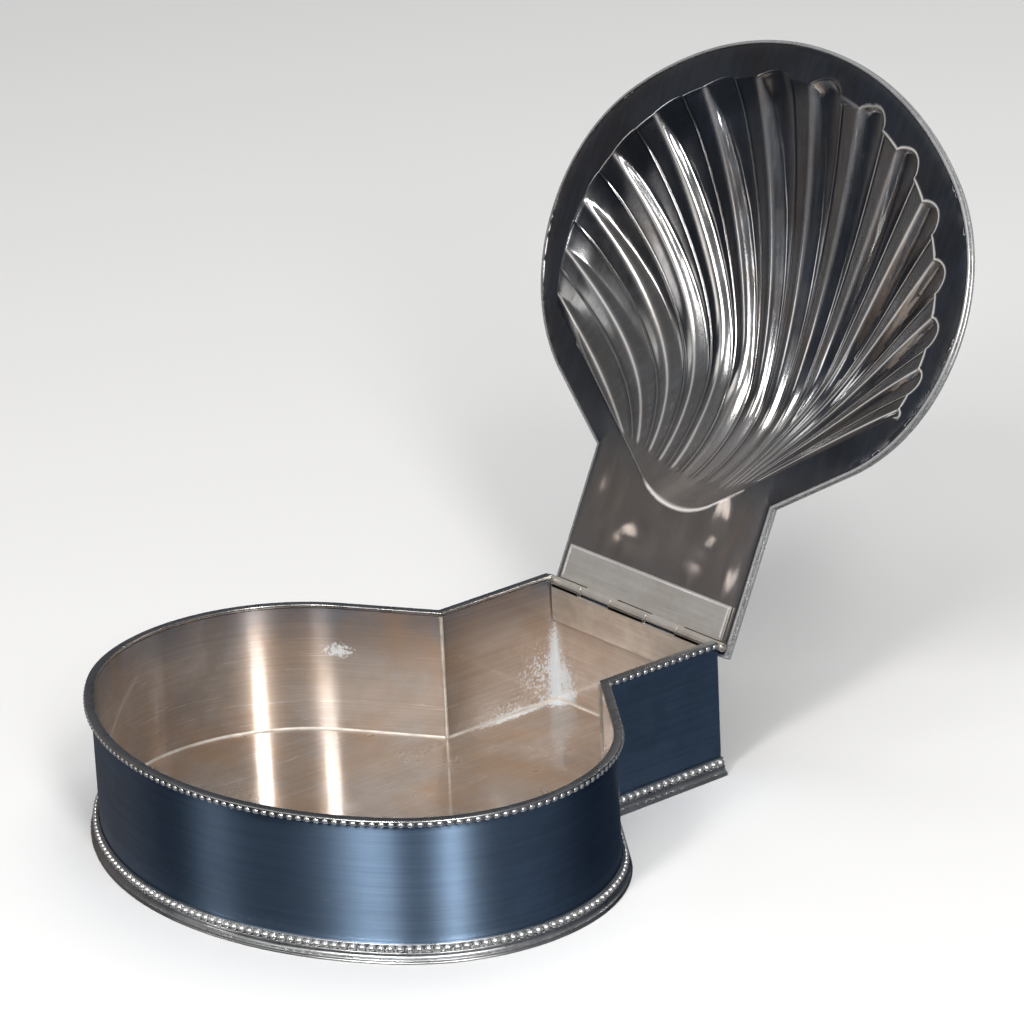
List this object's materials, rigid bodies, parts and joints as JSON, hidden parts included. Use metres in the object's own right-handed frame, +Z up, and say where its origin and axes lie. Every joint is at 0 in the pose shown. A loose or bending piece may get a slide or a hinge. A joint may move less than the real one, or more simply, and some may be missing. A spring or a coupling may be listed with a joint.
{
  "type": "hinged shell box",
  "caption": "Keyhole-plan sheet-metal box on a beaded foot, with a hinged lid raised as a fluted scallop shell.",
  "frame": {"origin": "on the table surface, on the box's centre line, under the middle of the box with its lid open", "axes": "+Z up, +Y from the bowl towards the hinge, +X to the right when facing the hinge"},
  "size_m": [0.2022, 0.2858, 0.2201],
  "materials": {
    "wall_silver": "worn silver plate, tarnished",
    "floor_silver": "worn silver plate, tarnished warm brown",
    "rim_silver": "silver plate, rubbed bright",
    "foot_silver": "silver plate, rubbed bright",
    "hinge_silver": "worn silver plate",
    "pin_metal": "worn silver plate",
    "lid_silver": "worn silver plate, tarnished",
    "lid_edge_silver": "silver plate, rubbed bright",
    "lid_hinge_silver": "worn silver plate"
  },
  "bodies": {
    "base": {"base_wall": "wall_silver", "floor_plate": "floor_silver", "rim_moulding": "rim_silver", "foot_moulding": "foot_silver", "base_hinge_leaf": "hinge_silver", "hinge_pin": "pin_metal"},
    "lid": {"lid_shell": "lid_silver", "lid_edge_moulding": "lid_edge_silver", "lid_hinge_leaf": "lid_hinge_silver"}
  },
  "joints": [
    {"name": "lid_hinge", "type": "hinge", "parent": "base", "child": "lid", "pos_m": [0, 0.05376, 0.0449], "axis": [1, 0, 0], "range_deg": [0, 115.5]}
  ]
}
